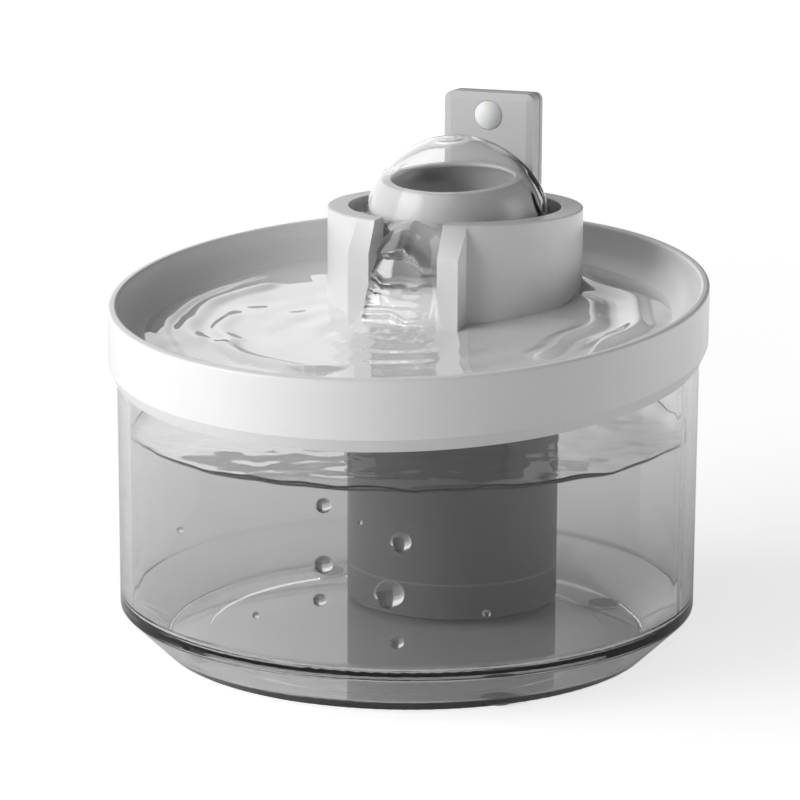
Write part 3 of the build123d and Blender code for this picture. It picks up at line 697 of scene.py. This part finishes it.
def fallTop(x, y, look):
    across = math.sqrt(max(0.0, 1 - min(1.0, abs(x) / spoutHalf) ** 2))
    height = along(sideFall, y) * (1 - across) + along(middleFall, y) * across
    streak = wave(x * look["streakNarrow"], y * look["streakLong"], 3.3, look["streakSize"])
    streak += look["fineStreak"] * wave(x, y, 9.0, look["fineSize"])
    return height + look["streak"] * streak * easeShare((look["streakFrom"] - y) / look["streakFade"])


def fallShare(x, y, look):
    # 1 in the stream, 0 beside it; it fans out in front of the jambs
    ahead = max(0.0, jambFront - y)
    side = spoutHalf + look["fanPast"] + look["fanSpread"] * ahead - abs(x)
    share = easeShare(side / (look["fanSoft"] + look["fanSofter"] * ahead))
    share *= easeShare((look["headFrom"] - y) / look["headFade"])
    return share * easeShare((y + look["footEnd"]) / look["footFade"])


def waterPoint(x, y, look):
    reach = math.hypot(x, y - collarBack)
    pool = poolTop(x, y, look)
    cup = look["cupLevel"] + look["cupWave"] * wave(x, y, 2.0, look["cupWaveSize"])
    inside = (collarRadius - look["stepInset"] - reach) / (fit["collarWall"] - 2 * look["stepInset"])
    height = pool + (cup - pool) * max(0.0, min(1.0, inside))
    share = fallShare(x, y, look)
    if share == 0:
        return x, y, height
    height += (max(fallTop(x, y, look), pool) - height) * share
    push = fallPush(x, height, look) * share * easeShare((height - pool) / look["pushClear"])
    return x, y - look["pushOut"] * push, height + look["pushUp"] * push


def spoutTurns(look):
    # directions from the collar's axis, closer together at the spout
    columns, gather = look["columns"], look["gather"]
    shares = [2 * i / columns - 1 for i in range(columns)]
    return [math.pi * (share * (1 - gather) + gather * share ** 3) - math.pi / 2 for share in shares]


def hiddenRows(turns, outer, look):
    # underside: the bowl's floor, the cup's floor, and up inside the ball's wall
    floorDepth = fit["bowlDepth"] + look["sunk"]
    ballMid = ballRadius - fit["ballWall"] / 2
    points = []
    for reaches in (outer, [collarRadius - look["inCollar"]] * len(turns)):
        for turn, reach in zip(turns, reaches):
            x, y = collarPoint(turn, reach)
            points.append((x, y, planeHeight(y, floorDepth)))
    foot = math.sqrt(ballMid ** 2 - (ballMiddle - cupFloor) ** 2)
    under = [(collarBore + look["sunk"], cupFloor - look["sunk"]), (foot, cupFloor - look["sunk"])]
    under += [(math.sqrt(ballMid ** 2 - rise ** 2), ballMiddle + rise) for rise in look["ballSteps"]]
    for reach, z in under:
        points += [(*collarPoint(turn, reach), z) for turn in turns]
    return points


def makeTrayWater(look):
    # rows of points from the ball outwards over the top, and back underneath
    inner = ballRadius - fit["ballWall"] / 2 - look["inBall"]
    wallOut = collarRadius - look["inCollar"]
    turns = spoutTurns(look)
    shore = bowlWall(look["poolDepth"] - look["edgeRise"]) + look["inWall"]
    outer = [reachOut(turn, shore) for turn in turns]
    fallEnd = [wallOut + (look["fallTo"] - wallOut) * min(1.0, (far - wallOut) / look["fallFade"])
               for far in outer]
    cupEnd = [look["fallFrom"]] * len(turns)
    spans = [([inner] * len(turns), cupEnd, look["cupRows"]), (cupEnd, fallEnd, look["fallRows"]),
             (fallEnd, outer, look["poolRows"])]
    points = []
    for starts, ends, count in spans:
        last = count + 1 if ends is outer else count
        for share in [row / count for row in range(last)]:
            points += [waterPoint(*collarPoint(turn, start + (end - start) * share), look)
                       for turn, start, end in zip(turns, starts, ends)]
    points += hiddenRows(turns, outer, look)
    faces = ringFaces(len(points) // len(turns), len(turns), looped=True)
    makePiece("trayWater", points, faces, poolFinish, "tray")


makeTrayWater(trayWater)
print("tray water ready")


# thin dome of water that wells out of the nozzle and runs down round it
domeProfile = [(0, 162.6), (3.2, 162.4), (6.5, 161.9), (13, 159.0), (20.5, 154.6), (24.8, 150.9),
               (27.8, 146.0), (29.6, 141.0), (30.7, 137.5)]
domeWater = {
    "columns": 180, "steps": 6,
    "thin": 0.35, "crown": 0.9, "thick": 2.4,           # the film: low down, on top, low on its heavy side
    "thicker": 1.1, "heavyTurn": 22.6, "heavySharp": 4, "fall": 20.0,       # its bulge on that side
    "ripple": 0.28, "runCount": 5, "runLength": 14.0, "runUp": 0.5, "smallShare": 0.5, "smallWave": 5.0,
    "calm": 4.0,                                        # bulge and runs grow in from the crown to here
    "clear": 0.06,                                      # room between film and ball
    "dimple": 1.3, "dimpleSize": 4.2, "dimpleAt": (-1.5, -3.0),
    "backReach": 29.75, "lensAt": 146.7, "lensRoom": 2.5, "lensSpread": 40.0,
}


def curveThrough(profile, steps):
    # smooth curve through the points, several steps between each two
    ends = [profile[0], *profile, profile[-1]]
    path = []
    for i in range(1, len(ends) - 2):
        for step in range(steps):
            t = step / steps
            path.append(tuple(
                0.5 * (2 * b + (c - a) * t + (2 * a - 5 * b + 4 * c - d) * t * t
                       + (3 * b - a - 3 * c + d) * t ** 3)
                for a, b, c, d in zip(ends[i - 1], ends[i], ends[i + 1], ends[i + 2])))
    return path + [profile[-1]]


def offBall(reach, z, least):
    # moved out from the ball where it would come nearer to it than this
    near = math.hypot(reach, z - ballMiddle)
    grow = max(1.0, (ballRadius + least) / near)
    return reach * grow, ballMiddle + (z - ballMiddle) * grow


def domeBack(x, z, look):
    # how far back the dome may reach, so that the lifted nozzle clears the post and its lens
    apart = (x * x + (z - look["lensAt"]) ** 2) / look["lensSpread"]
    return look["backReach"] - look["lensRoom"] * max(0.0, 1 - apart)


def domeSkins(reach, z, slopeAngle, turn, look):
    # points of the outer and the inner skin in one direction
    low = easeShare((domeProfile[0][1] - z) / look["fall"])
    side = 0.5 + 0.5 * math.cos(turn - math.radians(look["heavyTurn"]))
    film = look["thin"] + (look["crown"] - look["thin"]) * (1 - low)
    film += (look["thick"] - look["thin"]) * side ** look["heavySharp"] * low
    c, s = math.cos(turn), math.sin(turn)
    run = look["ripple"] * roundWave(turn, look["runCount"], z / look["runLength"]) * low
    run += look["smallShare"] * look["ripple"] * wave(reach * c, reach * s, 3.0, look["smallWave"])
    grown = reach + (look["thicker"] * side * low + run) * min(1, reach / look["calm"])
    outReach, outZ = offBall(grown, z + look["runUp"] * run, look["clear"] + film)
    if s > 0.5:     # the rear third, where the post stands
        outReach = min(outReach, domeBack(outReach * c, outZ, look) / s)
    inReach, inZ = offBall(outReach - film * math.cos(slopeAngle), outZ - film * math.sin(slopeAngle),
                           look["clear"])
    away = math.hypot(reach * c - look["dimpleAt"][0], reach * s - look["dimpleAt"][1])
    dimple = look["dimple"] * math.exp(-(away / look["dimpleSize"]) ** 2)
    return (*collarPoint(turn, outReach), outZ - dimple), (*collarPoint(turn, inReach), inZ - dimple)


def makeDome(look):
    columns = look["columns"]
    path = curveThrough(domeProfile, look["steps"])
    outer, inner = [], []
    for i, (reach, z) in enumerate(path[1:], 1):
        before, after = path[i - 1], path[min(i + 1, len(path) - 1)]
        slopeAngle = math.atan2(after[0] - before[0], before[1] - after[1])
        skins = [domeSkins(reach, z, slopeAngle, turn, look) for turn in roundTurns(columns)]
        outer.append([skin[0] for skin in skins])
        inner.append([skin[1] for skin in skins])
    points = [point for row in outer + inner[::-1] for point in row]
    rows = len(points) // columns
    faces = ringFaces(rows, columns)
    top, under = len(points), len(points) + 1
    points += [(0, collarBack, path[0][1]), (0, collarBack, path[0][1] - look["crown"])]
    last = (rows - 1) * columns
    for i in range(columns):
        j = (i + 1) % columns
        faces += [(i, j, top), (last + j, last + i, under)]
    makePiece("domeWater", points, faces, domeFinish, "nozzle")


# water that stands low in the nozzle's mouth, under the dome
mouthWater = {"columns": 120, "rings": 30, "hub": 0.1, "mouthReach": 26.5, "lower": 13.5, "tilt": 0.4,
              "swell": 0.5, "waveSize": 8.0, "smallShare": 0.4, "deep": 4.0}


def mouthRing(share, drop, look):
    # one ring of points, this share of the way out; only the surface has waves
    ballInner = ballRadius - fit["ballWall"]
    level = nozzleHigh.z - fit["slope"] * look["mouthReach"] - look["lower"]
    ring = []
    for turn in roundTurns(look["columns"]):
        plane = level - drop + look["tilt"] * fit["slope"] * ballInner * math.sin(turn) * share
        reach = (math.sqrt(ballInner ** 2 - (plane - ballMiddle) ** 2) - fit["room"]) * share
        x, y = collarPoint(turn, reach)
        swell = wave(x, y, 5.5, look["waveSize"])
        swell += look["smallShare"] * wave(x, y, 7.5, look["waveSize"] / 3)
        ring.append((x, y, plane if drop else plane + look["swell"] * swell))
    return ring


def makeMouthWater(look):
    columns, rings, hub = look["columns"], look["rings"], look["hub"]
    points = []
    for ring in range(rings + 1):
        points += mouthRing((ring + hub) / (rings + hub), 0, look)
    for drop in (look["deep"] / 2, look["deep"]):
        points += mouthRing(1.0, drop, look)
    rows = len(points) // columns
    makePiece("mouthWater", points, ringFaces(rows, columns) + endFaces(rows, columns), mouthFinish,
              "nozzle")


makeDome(domeWater)
makeMouthWater(mouthWater)
print("dome ready")


# camera, lamps, sky and floor; turns are in degrees from -Y towards +X

def skyward(turn, rise):
    turn, rise = math.radians(turn), math.radians(rise)
    return Vector((math.sin(turn) * math.cos(rise), -math.cos(turn) * math.cos(rise), math.sin(rise)))


view = {"azimuth": 22.6487, "elevation": 12.4926, "roll": 0.2715, "distance": 1.00728,
        "target": (-0.00234, -0.00098, 0.08092), "lens": 137.947, "sensor": 36.0}


def makeCamera(look):
    turn, roll = math.radians(look["azimuth"]), math.radians(look["roll"])
    back = skyward(look["azimuth"], look["elevation"])
    right = Vector((math.cos(turn), math.sin(turn), 0))
    up = back.cross(right)
    rolledRight = math.cos(roll) * right + math.sin(roll) * up
    rolledUp = back.cross(rolledRight)
    place = Matrix.Translation(Vector(look["target"]) + back * look["distance"])
    data = bpy.data.cameras.new("camera")
    data.lens, data.sensor_width = look["lens"], look["sensor"]
    camera = bpy.data.objects.new("camera", data)
    bpy.context.scene.collection.objects.link(camera)
    camera.matrix_world = place @ Matrix((rolledRight, rolledUp, back)).transposed().to_4x4()
    bpy.context.scene.camera = camera


makeCamera(view)

lampAim = Vector((0, 0, 0.09))
lamps = {
    "keyLight": {"turn": -45.0, "rise": 20.0, "far": 1.15, "size": (1.0, 0.5), "power": 11.6},
    "rimLight": {"turn": 118.0, "rise": 6.0, "far": 1.2, "size": (0.5, 0.3), "power": 4.2},
}


def makeLamp(name, look):
    # an area lamp that gloss and clear pieces don't mirror
    away = skyward(look["turn"], look["rise"])
    data = bpy.data.lights.new(name, "AREA")
    data.shape, data.energy = "RECTANGLE", look["power"]
    data.size, data.size_y = look["size"]
    lamp = bpy.data.objects.new(name, data)
    bpy.context.scene.collection.objects.link(lamp)
    lamp.location = lampAim + away * look["far"]
    lamp.rotation_euler = away.to_track_quat("Z", "Y").to_euler()
    lamp.visible_glossy = lamp.visible_transmission = False


for name, look in lamps.items():
    makeLamp(name, look)

sky = {"light": 0.25, "left": 0.06, "above": -0.08, "shown": 0.16, "shownAbove": -0.08}
# soft pale cards that only gloss and clear pieces show: turn, rise, outer and inner angle, tone
cards = [(-112.0, 16.0, 54.0, 38.0, 1.0), (-32.0, 44.0, 34.0, 18.0, 1.0),
         (108.0, 8.0, 28.0, 12.0, 0.95), (-52.0, 26.0, 22.0, 6.0, 3.0)]


def alongAxis(tree, direction, axis):
    # 1 towards the axis, -1 away from it
    dot = addVectorMath(tree, "DOT_PRODUCT", {1: axis})
    wire(tree, (direction, dot.inputs[0]))
    return dot.outputs["Value"]


def slopeTone(tree, direction, axis, amount, base):
    # tone that grows along an axis from a base, which is a number or a tone made before
    tone = addMath(tree, "MULTIPLY_ADD", {1: amount})
    wire(tree, (alongAxis(tree, direction, axis), tone.inputs[0]))
    if isinstance(base, float):
        tone.inputs[2].default_value = base
    else:
        wire(tree, (base, tone.inputs[2]))
    return tone.outputs[0]


def cardTone(tree, direction, card, base):
    # soft round card in the sky, added to the tone so far
    turn, rise, outer, inner, tone = card
    spot = addNode(tree, "ShaderNodeMapRange", {
        "From Min": math.cos(math.radians(outer)), "From Max": math.cos(math.radians(inner)),
        "To Min": 0.0, "To Max": tone})
    spot.interpolation_type = "SMOOTHSTEP"
    total = addMath(tree, "ADD")
    wire(tree,
         (alongAxis(tree, direction, skyward(turn, rise)), spot.inputs["Value"]),
         (base, total.inputs[0]), (spot.outputs[0], total.inputs[1]))
    return total.outputs[0]


def glossOrClear(tree, path):
    # 1 for rays that a glossy or a clear surface sends out
    either = addMath(tree, "MAXIMUM")
    wire(tree,
         (path.outputs["Is Transmission Ray"], either.inputs[0]),
         (path.outputs["Is Glossy Ray"], either.inputs[1]))
    return either.outputs[0]


def makeWorld(look):
    # paler to the left and darker above; white where the camera sees it
    world = bpy.data.worlds.new("studio")
    bpy.context.scene.world = world
    world.use_nodes = True
    tree = world.node_tree
    direction = addNode(tree, "ShaderNodeTexCoord").outputs["Generated"]
    lit = slopeTone(tree, direction, skyward(view["azimuth"] - 90, 0), look["left"], look["light"])
    lit = slopeTone(tree, direction, (0, 0, 1), look["above"], lit)
    shown = slopeTone(tree, direction, (0, 0, 1), look["shownAbove"], look["shown"])
    for card in cards:
        shown = cardTone(tree, direction, card, shown)
    path = addNode(tree, "ShaderNodeLightPath")
    tone = addNode(tree, "ShaderNodeMix")
    final = addNode(tree, "ShaderNodeMix", {"B": 1.0})
    background = tree.nodes["Background"]
    background.inputs["Color"].default_value = grey(1.0)
    wire(tree,
         (glossOrClear(tree, path), tone.inputs["Factor"]),
         (lit, tone.inputs["A"]), (shown, tone.inputs["B"]),
         (path.outputs["Is Camera Ray"], final.inputs["Factor"]),
         (tone.outputs["Result"], final.inputs["A"]),
         (final.outputs["Result"], background.inputs["Strength"]))
    tidyTree(tree)


makeWorld(sky)

# the floor's glow grows with the distance from the object: for the camera it keeps the floor evenly white,
# and for gloss and clear pieces it is nil near the object, which paints shade on the floor seen under and
# through the tank
floorLook = {"size": 6.0, "drop": 0.0002, "tone": 0.85, "rough": 0.9,
             "shown": {"from": 0.25, "to": 1.6, "near": 0.58, "far": 0.88},
             "mirrored": {"from": 0.04, "to": 1.1, "near": 0.0, "far": 0.85}}


def distanceGlow(tree, away, look):
    glow = addNode(tree, "ShaderNodeMapRange", {
        "From Min": look["from"], "From Max": look["to"],
        "To Min": look["near"], "To Max": look["far"]})
    wire(tree, (away.outputs["Value"], glow.inputs["Value"]))
    return glow.outputs["Result"]


def makeFloor(look):
    bpy.ops.mesh.primitive_plane_add(size=look["size"], location=(0, 0, -look["drop"]))
    floor = bpy.context.object
    floor.name = "floor"
    material, tree, shader = newMaterial(
        "paleFloor", {"Base Color": grey(look["tone"]), "Roughness": look["rough"]})
    path = addNode(tree, "ShaderNodeLightPath")
    place = addNode(tree, "ShaderNodeNewGeometry")
    away = addVectorMath(tree, "LENGTH")
    # glow that gloss and clear pieces see, nil near the object: painted shade on the floor under the tank
    mirrored = addMath(tree, "MULTIPLY")
    strength = addMath(tree, "MULTIPLY_ADD")
    glow = addNode(tree, "ShaderNodeEmission")
    total = addNode(tree, "ShaderNodeAddShader")
    wire(tree,
         (place.outputs["Position"], away.inputs[0]),
         (glossOrClear(tree, path), mirrored.inputs[0]),
         (distanceGlow(tree, away, look["mirrored"]), mirrored.inputs[1]),
         (path.outputs["Is Camera Ray"], strength.inputs[0]),
         (distanceGlow(tree, away, look["shown"]), strength.inputs[1]),
         (mirrored.outputs[0], strength.inputs[2]),
         (strength.outputs[0], glow.inputs["Strength"]),
         (shader.outputs[0], total.inputs[0]), (glow.outputs[0], total.inputs[1]),
         (total.outputs[0], tree.nodes["Material Output"].inputs["Surface"]))
    tidyTree(tree)
    floor.data.materials.append(material)


makeFloor(floorLook)
bpy.context.scene.view_settings.view_transform = "Standard"
print("camera and light ready")
